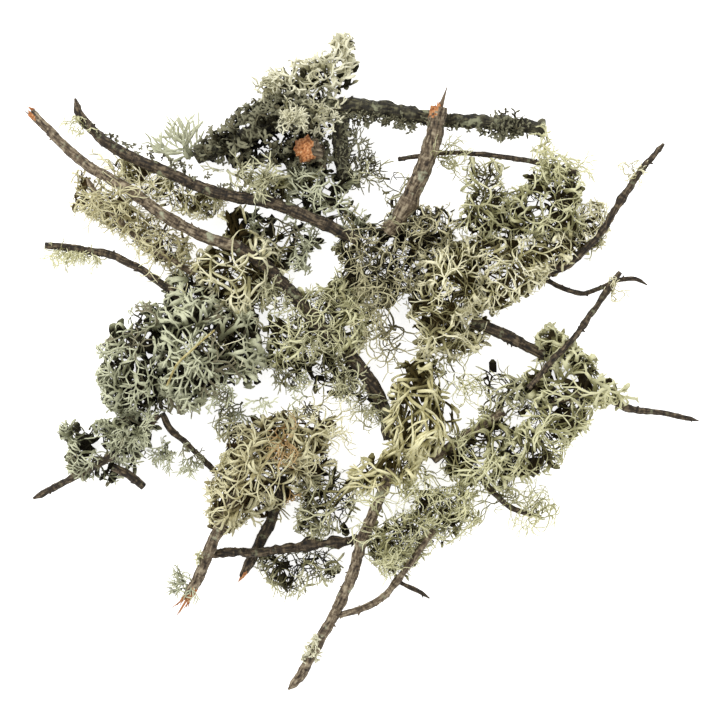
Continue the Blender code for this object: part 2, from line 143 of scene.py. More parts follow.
class Land:
    """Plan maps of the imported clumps: how high lichen may stand, how far its border is, which way is in."""

    def __init__(self, clumps, twigs):
        low, high = (np.array(c) / MM for c in cad_box)
        self.corner = low[:2] - MARGIN
        self.shape = tuple(int(n) for n in np.ceil((high[:2] - low[:2] + 2 * MARGIN) / CELL) + 1)
        self.own = {name: self.heights(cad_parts[name]) for name in clumps}
        crown = self.close_gaps(np.max(np.stack(list(self.own.values())), axis=0))
        self.inside = crown > 0
        self.depth = self.border_distance(self.inside)
        self.slope = np.stack(np.gradient(self.depth, CELL), axis=-1)
        self.ceiling = crown
        for line, shown in twigs:
            self.fit_to_twig(line, shown)

    def heights(self, node):
        """The height of a node's top over each cell, and -1 where the node isn't."""
        mesh = node.data
        tree = BVHTree.FromPolygons([v.co for v in mesh.vertices], [p.vertices for p in mesh.polygons])
        found = np.full(self.shape, -1.0)
        box = np.array([v.co for v in mesh.vertices]) / MM
        first = ((box.min(0)[:2] - self.corner) // CELL).astype(int)
        last = ((box.max(0)[:2] - self.corner) // CELL).astype(int) + 2
        down = Vector((0, 0, -1))
        for i in range(first[0], last[0]):
            for j in range(first[1], last[1]):
                x, y = self.corner + np.array((i, j)) * CELL
                hit = tree.ray_cast(Vector((x * MM, y * MM, 1.0)), down)[0]
                if hit is not None:
                    found[i, j] = hit.z / MM
        return found

    @staticmethod
    def neighbours(field, fill):
        """The field shifted one cell each way, for looking at all eight neighbours at once."""
        wide = np.pad(field, 1, constant_values=fill)
        nx, ny = field.shape
        return [wide[1 + i:1 + i + nx, 1 + j:1 + j + ny] for i in (-1, 0, 1) for j in (-1, 0, 1) if i or j]

    def close_gaps(self, crown):
        """Fills the thin gaps that packed clumps keep between each other."""
        spread = np.maximum.reduce([crown] + self.neighbours(crown, -1.0))
        kept = np.minimum.reduce([spread > 0] + [n > 0 for n in self.neighbours(spread, -1.0)])
        return np.where(crown > 0, crown, np.where(kept, spread, -1.0))

    def border_distance(self, inside):
        """Distance to the border, positive inside and negative outside."""
        signed = np.zeros(self.shape)
        for mask, sign in ((inside, 1.0), (~inside, -1.0)):
            reach = np.where(mask, FAR, 0.0)
            cost = [math.hypot(i, j) * CELL for i in (-1, 0, 1) for j in (-1, 0, 1) if i or j]
            for _ in range(int(MARGIN / CELL) + 12):
                around = self.neighbours(reach, FAR)
                reach = np.minimum.reduce([reach] + [n + c for n, c in zip(around, cost)])
                reach = np.where(mask, reach, 0.0)
            signed += sign * reach
        return signed

    def fit_to_twig(self, line, shown):
        """Lowers the ceiling beside the stretch of a twig that shows, and raises it over the rest."""
        places, radii, _ = smooth_line(*line, 4.0)
        xs = self.corner[0] + np.arange(self.shape[0]) * CELL
        ys = self.corner[1] + np.arange(self.shape[1]) * CELL
        gx, gy = np.meshgrid(xs, ys, indexing="ij")
        for k, (x, y, z) in enumerate(places):
            share = k / (len(places) - 1)
            away = np.hypot(gx - x, gy - y)
            if shown[0] <= share <= shown[1]:
                limit = z - radii[k] * VALLEY_FOOT + np.maximum(away - radii[k] - 0.5, 0.0) * VALLEY_SLOPE
                self.ceiling = np.where(away < VALLEY_REACH, np.minimum(self.ceiling, limit), self.ceiling)
            else:
                over = (away < radii[k] + COVER_WIDTH) & self.inside
                self.ceiling = np.where(over, np.maximum(self.ceiling, z + radii[k] + COVER), self.ceiling)

    def at(self, field, places):
        """Reads a map at each place."""
        cells = ((places[:, :2] - self.corner) / CELL + 0.5).astype(int)
        cells = np.clip(cells, 0, np.array(self.shape) - 1)
        return field[cells[:, 0], cells[:, 1]]


def in_order(corners):
    """The corners by their number in the mesh, so that every run adds them up in the same order."""
    return sorted(corners, key=lambda v: v.index)


def centre(corners):
    """The middle of some corners."""
    return sum((v.co for v in corners), Vector()) / len(corners)


def twig_line(name):
    """A packed tube's centreline and radii from its outer end inwards, read ring by ring from its mesh."""
    bm = bmesh.new()
    bm.from_mesh(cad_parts[name].data)
    bmesh.ops.remove_doubles(bm, verts=bm.verts, dist=0.00001)
    bm.verts.index_update()
    caps = sorted(flat_patches(bm), key=roundness)[:2]
    ring = max(caps, key=lambda cap: centre(cap).xy.length)
    places, radii, seen = [], [], set(ring)
    while ring:
        middle = centre(ring)
        places.append(np.array(middle) / MM)
        radii.append(sum((v.co - middle).length for v in ring) / len(ring) / MM)
        ring = in_order({e.other_vert(v) for v in ring for e in v.link_edges} - seen)
        seen.update(ring)
    bm.free()
    return np.array(places), np.array(radii)


def flat_patches(bm):
    """The corners of each flat patch of the mesh that has as many corners as a tube's end."""
    found, seen = [], set()
    for start in bm.faces:
        if start in seen:
            continue
        patch, edge = {start}, [start]
        while edge:
            face = edge.pop()
            for e in face.edges:
                for other in e.link_faces:
                    if other not in patch and (other.normal - start.normal).length < 0.002:
                        patch.add(other)
                        edge.append(other)
        seen |= patch
        corners = in_order({v for face in patch for v in face.verts})
        if len(corners) >= LEAST_SIDES:
            found.append(corners)
    return found


def roundness(corners):
    """Low where the corners lie on a circle."""
    middle = centre(corners)
    reach = [(v.co - middle).length for v in corners]
    return (max(reach) - min(reach)) / max(reach)


def smooth_line(places, values, spacing):
    """The line and its values read at even spacing along a smooth curve through the places."""
    ahead = np.vstack([places[1:], 2 * places[-1] - places[-2]])
    behind = np.vstack([2 * places[0] - places[1], places[:-1]])
    tangent = (ahead - behind) / 2
    out, kept, travelled = [], [], []
    run = 0.0
    for k in range(len(places) - 1):
        span = np.linalg.norm(places[k + 1] - places[k])
        steps = max(1, int(round(span / spacing)))
        for s in range(steps):
            t = s / steps
            h = (2 * t ** 3 - 3 * t ** 2 + 1, t ** 3 - 2 * t ** 2 + t, 3 * t ** 2 - 2 * t ** 3,
                 t ** 3 - t ** 2)
            out.append(h[0] * places[k] + h[1] * tangent[k]
                       + h[2] * places[k + 1] + h[3] * tangent[k + 1])
            kept.append(values[k] * (1 - t) + values[k + 1] * t)
            travelled.append(run + span * t)
        run += span
    return np.array(out + [places[-1]]), np.array(kept + [values[-1]]), np.array(travelled + [run])


# ---------------------------------------------------------------- how each kind of lichen grows

class Habit(NamedTuple):
    """How one kind of lichen grows. Lengths in millimetres, angles in degrees."""

    half: float               # half the width of a lobe at its holdfast
    step: float               # length of one growing step
    stretch: tuple            # fewest and most steps between forks
    orders: int               # how many times a lobe forks
    angle: float              # how far each fork turns
    keep: float               # share of its width that a lobe keeps at a fork
    thick: float              # thickness of the lobe
    curl: float               # how strongly lobes bend up and down, per step
    wander: float             # how strongly lobes bend sideways, per step
    flat: float               # how firmly lobes keep their broad side up
    least: float = 0.25       # narrowest half width


HABITS = {
    "oakmoss": Habit(0.90, 2.0, (2, 4), 5, 27, 0.82, 0.26, 12, 12, 0.12, 0.3),
    "broad_oakmoss": Habit(1.3, 2.1, (2, 3), 5, 30, 0.80, 0.30, 8, 10, 0.25, 0.35),
    "long_oakmoss": Habit(0.85, 2.2, (2, 6), 4, 20, 0.86, 0.28, 12, 13, 0.10, 0.3),
    "straps": Habit(0.85, 2.3, (3, 6), 3, 19, 0.88, 0.28, 9, 10, 0.12, 0.32),
    "antler": Habit(1.1, 1.7, (1, 3), 6, 34, 0.85, 0.30, 8, 8, 0.35, 0.4),
    "broad_antler": Habit(1.9, 2.2, (1, 3), 6, 34, 0.82, 0.36, 8, 8, 0.40, 0.5),
    "wiry": Habit(0.5, 1.8, (2, 4), 5, 34, 0.86, 0.28, 18, 17, 0.0),
    "net": Habit(0.65, 1.9, (2, 4), 5, 30, 0.84, 0.26, 15, 14, 0.08),
    "leafy": Habit(1.0, 1.3, (1, 2), 3, 38, 0.95, 0.30, 16, 14, 0.15, 0.6),
    "mat": Habit(2.0, 2.5, (2, 3), 2, 42, 0.88, 0.35, 10, 16, 0.35, 0.8),
    "sprig": Habit(0.65, 1.2, (1, 3), 4, 32, 0.88, 0.28, 10, 10, 0.15, 0.3),
    "strings": Habit(0.45, 1.6, (2, 5), 3, 30, 0.88, 0.24, 16, 15, 0.0, 0.25),
    "rosette": Habit(0.8, 1.0, (1, 2), 2, 40, 0.95, 0.28, 16, 14, 0.15, 0.6),
    "fuzz": Habit(0.42, 1.2, (1, 3), 3, 36, 0.9, 0.25, 18, 18, 0.0, 0.25),
    "plume": Habit(1.0, 1.5, (2, 3), 5, 34, 0.86, 0.30, 14, 13, 0.15, 0.5),
}

# What is kept for each growing lobe.
LOBE_STATE = ("place", "way", "side", "half", "order", "left", "tones", "bend", "veer", "steps", "vigour",
              "twin", "shy")
TIP_SHARE = 0.30          # width of a lobe's tip, as a share of the lobe's
TIP_TAPER = 0.84          # share of its width that a lobe's last stretch keeps, per step
TIP_REACH = 0.80          # length of the last, narrowing step
WEAK = 0.12               # share of the lobes that stop at a fork instead of forking
PAINTED_SHADE_DEPTH = 18.0         # depth below the crown at which the painted shade makes lichen darkest
LOWEST = 1.2              # how near the floor a lobe's middle line may come
HIGHEST = 58.0            # and the highest that it may stand
HELD = 0.75               # share of its bend that a lobe holds from one step to the next
FRESH = 0.65              # share of a habit's curl and wander that is drawn anew at each step
ROLL = 9                  # how far a lobe rolls about its own line at each step, in degrees
BORDER_ZONE = 3.5         # distance from the border in which lobes begin to turn back
TURN_ZONE = 2.5           # distance from the ground or the crown in which they do
TURN_DOWN = 0.40          # how hard they turn away from the crown
TURN_UP = 0.55            # and from the ground
STRAY = (0.5, 4.5)        # how far past the border lobes get before they end


def unit(vectors):
    """Each row as a vector of length one."""
    return vectors / np.maximum(np.linalg.norm(vectors, axis=1, keepdims=True), 1e-9)


def turn(vectors, axes, degrees):
    """Each vector turned about its own axis."""
    angle = np.radians(degrees)[:, None]
    along = axes * np.sum(vectors * axes, axis=1, keepdims=True)
    return along + (vectors - along) * np.cos(angle) + np.cross(axes, vectors) * np.sin(angle)


def square_to(vectors, ways):
    """Each vector, of length one, without the part that runs along its way."""
    return unit(vectors - ways * np.sum(vectors * ways, axis=1, keepdims=True))


def followers(made, known):
    """The new corner that each of the known corners leads to in what an extrusion made."""
    return {e.other_vert(v): v for v in made if isinstance(v, bmesh.types.BMVert)
            for e in v.link_edges if e.other_vert(v) in known}


class Growth:
    """Ribbons that grow together, one step at a time, as one mesh.

    A growing end is an edge. Each step extrudes all ends at once, and a fork splits an end in two."""

    def __init__(self, bm, habit, land, rng, bounded=True, roof=1.0, inset=0.0):
        self.bm, self.habit, self.land, self.rng, self.bounded = bm, habit, land, rng, bounded
        self.roof, self.inset = roof, inset
        layers = bm.verts.layers.float
        self.age, self.tone, self.deep = (layers.get(n) or layers.new(n) for n in ("age", "tone", "deep"))

    def sow(self, places, ways, tones, scale=1.0):
        """Starts a lobe at each place."""
        h, rng, n = self.habit, self.rng, len(places)
        self.place = places.copy()
        self.way = unit(ways)
        side = square_to(np.cross(self.way, UP) + rng.normal(0, 0.05, (n, 3)), self.way)
        self.side = turn(side, self.way, rng.normal(0, 38 * (1 - h.flat), n))
        self.half = h.half * scale * rng.uniform(0.75, 1.15, n)
        self.order = np.zeros(n, int)
        self.left = rng.integers(h.stretch[0], h.stretch[1] + 1, n)
        self.tones = tones.copy()
        self.bend = rng.normal(0, h.curl, n)
        self.veer = rng.normal(0, h.wander, n)
        self.steps = np.zeros(n)
        self.vigour = rng.uniform(0.8, 1.2, n)
        self.twin = np.zeros(n, bool)
        self.shy = rng.uniform(0.0, 0.35, n)
        self.total = (h.stretch[0] + h.stretch[1]) / 2 * (h.orders + 1)
        self.ends = []
        for corners in self.corners():
            verts = [self.bm.verts.new(c) for c in corners]
            self.ends.append((verts, self.bm.edges.new(verts)))
        self.mark()

    def corners(self):
        """The two corners of each growing end, in metres."""
        out = self.side * self.half[:, None]
        return (np.stack([self.place - out, self.place + out], axis=1) * MM).tolist()

    def mark(self):
        """Writes age, tone and the painted shade, which grows with depth below the crown, on the newest
        corners.
        """
        age = np.clip(self.steps / self.total, 0, 1).tolist()
        # Painted shade: lichen that lies far below the crown is coloured darker.
        below = self.land.at(self.land.ceiling, self.place) - self.place[:, 2]
        deep = np.clip(below / PAINTED_SHADE_DEPTH, 0, 1).tolist()
        for (verts, _), a, t, d in zip(self.ends, age, self.tones.tolist(), deep):
            for v in verts:
                v[self.age], v[self.tone], v[self.deep] = a, t, d

    def steer(self, pull):
        """Turns each lobe by its own curl, away from borders, and between the ground and the crown."""
        h, rng, land = self.habit, self.rng, self.land
        n = len(self.place)
        self.bend = self.bend * HELD + rng.normal(0, h.curl * FRESH, n)
        self.veer = self.veer * HELD + rng.normal(0, h.wander * FRESH, n)
        up = np.cross(self.side, self.way)
        self.way = turn(self.way, self.side, self.bend)
        self.way = turn(self.way, up, self.veer)
        self.side = turn(self.side, self.way, rng.normal(0, ROLL, n))
        push = np.zeros((n, 3))
        if self.bounded:
            depth = land.at(land.depth, self.place) - self.inset
            slope = land.at(land.slope, self.place)
            near = np.clip((BORDER_ZONE - depth) / BORDER_ZONE, 0, 2.0) * self.shy
            push[:, :2] += slope * near[:, None]
            top = land.at(land.ceiling, self.place) * self.roof
            over = np.clip((self.place[:, 2] - (top - TURN_ZONE)) / TURN_ZONE, 0, 3.0)
            push[:, 2] -= over * TURN_DOWN
        low = np.clip((TURN_ZONE - self.place[:, 2]) / TURN_ZONE, 0, 1.5)
        push[:, 2] += low * TURN_UP
        push += pull
        self.way = unit(self.way + push)
        level = np.cross(self.way, UP)
        facing = np.sign(np.sum(level * self.side, axis=1, keepdims=True) + 1e-9)
        self.side = square_to(self.side + level * facing * h.flat, self.way)

    def extrude(self, reach):
        """Extrudes every growing end by one step and moves the new corners into place.

        The two halves of a fork share a corner, so the second half is extruded on its own."""
        self.place = self.place + self.way * (self.habit.step * reach * self.vigour)[:, None]
        self.place[:, 2] = np.clip(self.place[:, 2], LOWEST + self.half * 0.8, HIGHEST)
        spots = self.corners()
        fresh = [None] * len(self.ends)
        for group in (np.flatnonzero(~self.twin), np.flatnonzero(self.twin)):
            edges = [self.ends[k][1] for k in group]
            known = {v for edge in edges for v in edge.verts}
            follow = followers(bmesh.ops.extrude_edge_only(self.bm, edges=edges)["geom"], known)
            for k in group:
                new = [follow[v] for v in self.ends[k][0]]
                for v, spot in zip(new, spots[k]):
                    v.co = spot
                fresh[k] = (new, self.bm.edges.get(new))
        self.ends = fresh
        self.twin = np.zeros(len(self.twin), bool)
        self.steps += reach
        self.mark()

    def select(self, picks):
        """Keeps the picked lobes, in that order, as the ones that grow."""
        for name in LOBE_STATE:
            setattr(self, name, getattr(self, name)[picks])
        self.ends = [self.ends[k] for k in picks]

    def finish_tips(self, ending):
        """Draws the ending lobes to a blunt point and lets the others grow on."""
        if not ending.any():
            return
        staying = np.flatnonzero(~ending)
        saved = [getattr(self, name)[staying] for name in LOBE_STATE]
        ends = [self.ends[k] for k in staying]
        self.select(np.flatnonzero(ending))
        self.half = self.half * TIP_SHARE
        self.extrude(TIP_REACH)
        for name, value in zip(LOBE_STATE, saved):
            setattr(self, name, value)
        self.ends = ends

    def split_end(self, end):
        """The two ends that one end splits into at its middle."""
        (left, right), edge = end
        middle = bmesh.utils.edge_split(edge, left, 0.5)[1]
        return [(half, self.bm.edges.get(half)) for half in ([left, middle], [middle, right])]

    def fork(self):
        """Splits each lobe whose stretch is done into two."""
        h, rng = self.habit, self.rng
        done = np.flatnonzero(self.left <= 0)
        if not len(done):
            return
        stay = np.flatnonzero(self.left > 0)
        pairs = [self.split_end(self.ends[k]) for k in done]
        ends = [self.ends[k] for k in stay] + [p[0] for p in pairs] + [p[1] for p in pairs]
        self.select(np.concatenate([stay, done, done]))
        self.ends = ends
        twice = 2 * len(done)
        new = np.arange(len(stay), len(stay) + twice)
        sign = np.repeat([-1.0, 1.0], len(done))
        up = np.cross(self.side[new], self.way[new])
        spread = h.angle * rng.uniform(0.6, 1.35, twice)
        self.place[new] += self.side[new] * (sign * self.half[new] * 0.5)[:, None]
        self.way[new] = unit(turn(self.way[new], up, -sign * spread) + rng.normal(0, 0.10, (twice, 3)))
        self.side[new] = turn(self.side[new], up, -sign * spread)
        self.half[new] = np.maximum(self.half[new] * h.keep * rng.uniform(0.8, 1.12, twice), h.least)
        self.order[new] += 1
        self.left[new] = rng.integers(h.stretch[0], h.stretch[1] + 1, twice)
        self.veer[new] = rng.normal(0, h.wander, twice)
        self.twin[new[len(done):]] = True

    def grow(self, pull=(0.0, 0.0, 0.0)):
        """Grows until every lobe has ended."""
        h, rng = self.habit, self.rng
        pull = np.array(pull)
        while len(self.place):
            self.steer(pull)
            last = self.order >= h.orders
            self.half = np.where(last, np.maximum(self.half * TIP_TAPER, h.least * 0.6), self.half)
            self.extrude(1.0)
            self.left = self.left - 1
            out = np.zeros(len(self.place), bool)
            if self.bounded:
                depth = self.land.at(self.land.depth, self.place)
                out = depth < self.inset - rng.uniform(*STRAY, len(self.place))
            ripe = (self.left <= 0) & (self.order >= h.orders)
            weak = (self.left <= 0) & (self.order > 0) & (rng.random(len(self.place)) < WEAK)
            ending = out | ripe | weak
            self.finish_tips(ending)
            if ending.all():
                break
            self.fork()


# ---------------------------------------------------------------- which lichen grows where

# Clump: finish, slot, then each group of plants as (habit, share of the usual density, flow, fan).
# Flow is the steady pull on the lobes, and fan draws the holdfasts in towards the clump's middle.
CLUMPS = {
    "top_plume": ("pale_plume", "leafy_lichen", [("plume", 1.0, (-0.02, 0.05, 0), 0.9)]),
    "leafy_crust": ("leafy_crust", "leafy_lichen", [("leafy", 1.5, (0, 0, 0.05), 1.0)]),
    "upper_antler_clump": ("antler", "antler_lichen", [("antler", 1.0, (0, 0, 0), 0.9)]),
    "folded_clump": ("green_oakmoss", "oakmoss_lichen", [("straps", 1.2, (0.1, 0.05, 0), 0.8)]),
    "inner_antler_clump": ("antler", "antler_lichen", [("antler", 1.0, (0.08, -0.08, 0), 0.8)]),
    "pale_strap_clump": ("pale_oakmoss", "oakmoss_lichen", [("broad_oakmoss", 0.5, (0.02, -0.04, 0), 0.9),
                                                            ("long_oakmoss", 0.6, (0.03, -0.06, 0), 0.9)]),
    "wispy_clump": ("pale_oakmoss", "oakmoss_lichen", [("net", 2.2, (0, 0, 0), 1.0)]),
    "fringe_clump": ("brown_oakmoss", "oakmoss_lichen", [("net", 1.4, (-0.04, -0.05, 0), 1.0)]),
    "blue_mass": ("antler", "antler_lichen", [("broad_antler", 1.0, (0, 0, 0), 0.95)]),
    "left_antler_clump": ("antler", "antler_lichen", [("antler", 1.1, (-0.05, 0, 0), 0.92)]),
    "dark_tail": ("dark_net", "leafy_lichen", [("net", 1.3, (0.04, -0.05, 0), 1.0)]),
    "lower_left_clump": ("antler", "antler_lichen", [("antler", 1.2, (-0.03, -0.03, 0), 0.95)]),
    "wiry_clump": ("wiry", "wiry_lichen", [("wiry", 1.5, (0, 0, 0), 1.0)]),
    "centre_clump": ("green_oakmoss", "oakmoss_lichen", [("oakmoss", 0.7, (0, 0, 0), 1.0),
                                                        ("wiry", 0.6, (0, 0, 0), 1.0)]),
    "spine_fuzz": ("dark_net", "wiry_lichen", [("wiry", 1.3, (0.04, -0.04, 0), 1.0)]),
    "oakmoss_fan": ("brown_oakmoss", "oakmoss_lichen", [("long_oakmoss", 1.62, (-0.02, -0.03, 0), 0.90)]),
    "dark_green_clump": ("dark_net", "oakmoss_lichen", [("net", 1.2, (0, 0, 0), 1.0)]),
    "lower_fringe": ("dark_net", "oakmoss_lichen", [("net", 1.1, (0, -0.08, 0), 0.9)]),
    "net_clump": ("green_oakmoss", "oakmoss_lichen", [("net", 1.7, (0, 0, 0), 1.0)]),
    "yellow_strap_clump": ("yellow_oakmoss", "oakmoss_lichen", [("straps", 1.7, (-0.04, -0.16, 0), 0.95)]),
    "strap_tail": ("yellow_oakmoss", "oakmoss_lichen", [("straps", 1.6, (-0.17, -0.06, 0), 0.95)]),
    "arch_clump": ("dark_net", "oakmoss_lichen", [("net", 1.1, (0, 0, 0), 1.0)]),
    "middle_right_clump": ("pale_oakmoss", "oakmoss_lichen", [("oakmoss", 1.15, (0, 0, 0), 1.0)]),
    "right_clump": ("pale_oakmoss", "oakmoss_lichen", [("oakmoss", 1.25, (0.02, -0.04, 0), 1.0)]),
    "curtain_clump": ("green_oakmoss", "oakmoss_lichen", [("net", 0.9, (0, 0, 0), 1.0),
                                                         ("oakmoss", 0.4, (0, 0, 0), 0.9)]),
    "top_right_clump": ("green_oakmoss", "oakmoss_lichen", [("oakmoss", 1.1, (0.02, 0.03, 0), 1.0)]),
    "twig_fringe": ("pale_oakmoss", "oakmoss_lichen", [("net", 1.2, (0.05, 0, 0), 0.9)]),
    "right_lobes": ("green_oakmoss", "oakmoss_lichen", [("broad_oakmoss", 1.2, (0.03, 0, 0), 0.9)]),
    "grey_clump": ("dark_net", "antler_lichen", [("net", 1.2, (0, 0, 0), 0.9)]),
    "lower_right_clump": ("green_oakmoss", "oakmoss_lichen", [("oakmoss", 1.1, (0.02, -0.02, 0), 0.95)]),
    "dark_right_clump": ("green_oakmoss", "oakmoss_lichen", [("oakmoss", 1.0, (0, -0.02, 0), 0.95)]),
}

EVEN_STRIDE = (0.7548777, 0.5698403)   # steps of a sequence that covers the plan evenly
JITTER = 0.7              # how far each holdfast is from its place in that sequence
LEVELS = (0.10, 0.95)     # lowest and highest holdfasts, as squared shares of the crown's height
# Each clump stands in a mat of old lobes that are broad, dark and low; their darkness is partly their age and
# partly painted shade low in the clump.
MAT_TONES = (-1.0, -0.4)  # darker than any other lobe: old lobes, and painted shade
MAT_INSET = 3.0           # how far they stay back from the border
MAT_ROOF = 0.45           # how high they rise, as a share of the crown's height
MAT_LEVELS = (0.01, 0.14)
MAT_IN_NET = 0.4          # share of them that an open net has

# Plants to a square centimetre of ground at the usual density.
PLANTS = {"oakmoss": 1.95, "broad_oakmoss": 1.7, "long_oakmoss": 1.6, "straps": 2.4, "antler": 1.35,
          "broad_antler": 0.85, "wiry": 1.35, "net": 1.85, "leafy": 5.6, "plume": 2.8, "mat": 1.8}

# The stretch of each twig, from its outer end, that isn't overgrown.
IN_SIGHT = {
    "long_twig": (0.0, 1.0), "second_twig": (0.0, 0.9), "left_twig": (0.0, 0.85), "top_bar": (0.0, 0.62),
    "broken_knot": (0.0, 0.4), "thick_stub": (0.0, 0.97), "thin_bar": (0.1, 1.0),
    "upper_right_twig": (0.0, 0.62), "curved_twig": (0.0, 0.8), "diagonal_twig": (0.0, 0.95),
    "far_right_twig": (0.0, 0.5), "lower_right_twig": (0.0, 0.6), "bottom_twig": (0.0, 0.9),
    "bottom_side_twig": (0.0, 1.0), "bottom_twiglet": (0.0, 1.0), "broken_twig": (0.0, 0.6),
    "cross_twig": (0.0, 0.95), "dark_twig": (0.0, 0.6), "lower_left_twig": (0.0, 0.36),
    "lower_left_stub": (0.0, 1.0), "thin_dark_twig": (0.0, 0.95), "right_centre_twig": (0.0, 0.95),
    "spine_twig": (0.22, 0.32), "side_twig": (0.0, 0.12), "centre_right_twig": (0.0, 0.0),
    "hanging_stub": (0.0, 0.5),
}


def sow_clump(growth, name, count, flow, fan, levels, tones=(0.0, 1.0)):
    """Sets holdfasts all through a clump between two levels, with lobes that set out from its middle."""
    land, rng = growth.land, growth.rng
    ground = (land.own[name] > 0) & (land.depth >= growth.inset)
    cells = np.argwhere(ground)
    low, reach = cells.min(0), np.ptp(cells, axis=0) + 1
    tries = np.arange(int(count * reach.prod() / len(cells) * 1.4) + 20)[:, None]
    spots = low + (tries * EVEN_STRIDE + rng.random(2)) % 1.0 * reach
    spots = spots[ground[tuple(spots.astype(int).T)]][:count]
    count = len(spots)
    plan = land.corner + (spots - 0.5 + rng.uniform(-JITTER, JITTER, (count, 2))) * CELL
    middle = land.corner + cells.mean(0) * CELL
    plan = middle + (plan - middle) * fan
    places = np.column_stack([plan, np.zeros(count)])
    top = np.maximum(land.at(land.ceiling, places), 2.0)
    places[:, 2] = top * np.sqrt(rng.uniform(levels[0], levels[1], count))
    away = unit(np.column_stack([plan - middle, np.zeros(count)]))
    ways = away * 0.55 + rng.normal(0, 0.55, (count, 3)) + np.array(flow) * 2.0
    ways[:, 2] = np.abs(ways[:, 2]) * 0.6 + 0.15
    growth.sow(places, ways, rng.uniform(*tones, count))


def hand_over(bm, name, materials, nodes=(), solid=None):
    """Makes the mesh an object that rides on the tangle, with its finish and the nodes that it stands for.

    A solid mesh is a thin sheet that gets this thickness in millimetres, and a different underside."""
    mesh = bpy.data.meshes.new(name)
    if solid:
        bmesh.ops.reverse_faces(bm, faces=bm.faces)
    bm.to_mesh(mesh)
    bm.free()
    mesh.shade_smooth()
    piece = bpy.data.objects.new(name, mesh)
    bpy.context.scene.collection.objects.link(piece)
    for material in materials:
        mesh.materials.append(material)
    if solid:
        body = piece.modifiers.new("thickness", "SOLIDIFY")
        body.thickness = solid * MM
        body.offset = -1.0
        body.use_rim = True
        body.material_offset = 1
        body.material_offset_rim = 0
    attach(piece, "root")
    if nodes:
        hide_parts(*nodes)


def grow_clump(name, land, settings):
    """One packed clump as lichen: a mat of old lobes, dark partly as painted shade, and the plants that stand
    in it.
    """
    skin, slot, groups = CLUMPS[name]
    rng = np.random.default_rng([settings.seed, sorted(CLUMPS).index(name)])
    bm = bmesh.new()
    own = land.own[name] > 0
    area, inner = (float(ground.sum()) * CELL ** 2 / 100 for ground in (own,
                                                                        own & (land.depth >= MAT_INSET)))
    share = MAT_IN_NET if groups[0][0] == "net" else 1.0
    count = int(inner * PLANTS["mat"] * share * settings.density)
    if count:
        mat = Growth(bm, HABITS["mat"], land, rng, roof=MAT_ROOF, inset=MAT_INSET)
        # The mat's dark tones stand for old lobes and for painted shade low in the clump.
        sow_clump(mat, name, count, (0, 0, 0), 0.96, MAT_LEVELS, MAT_TONES)
        mat.grow()
    for habit, density, flow, fan in groups:
        plants = Growth(bm, HABITS[habit], land, rng)
        count = max(3, int(area * PLANTS[habit] * density * settings.density))
        sow_clump(plants, name, count, flow, fan, LEVELS)
        plants.grow(flow)
    hand_over(bm, name + "_lobes", finish(skin), [name], HABITS[groups[0][0]].thick)


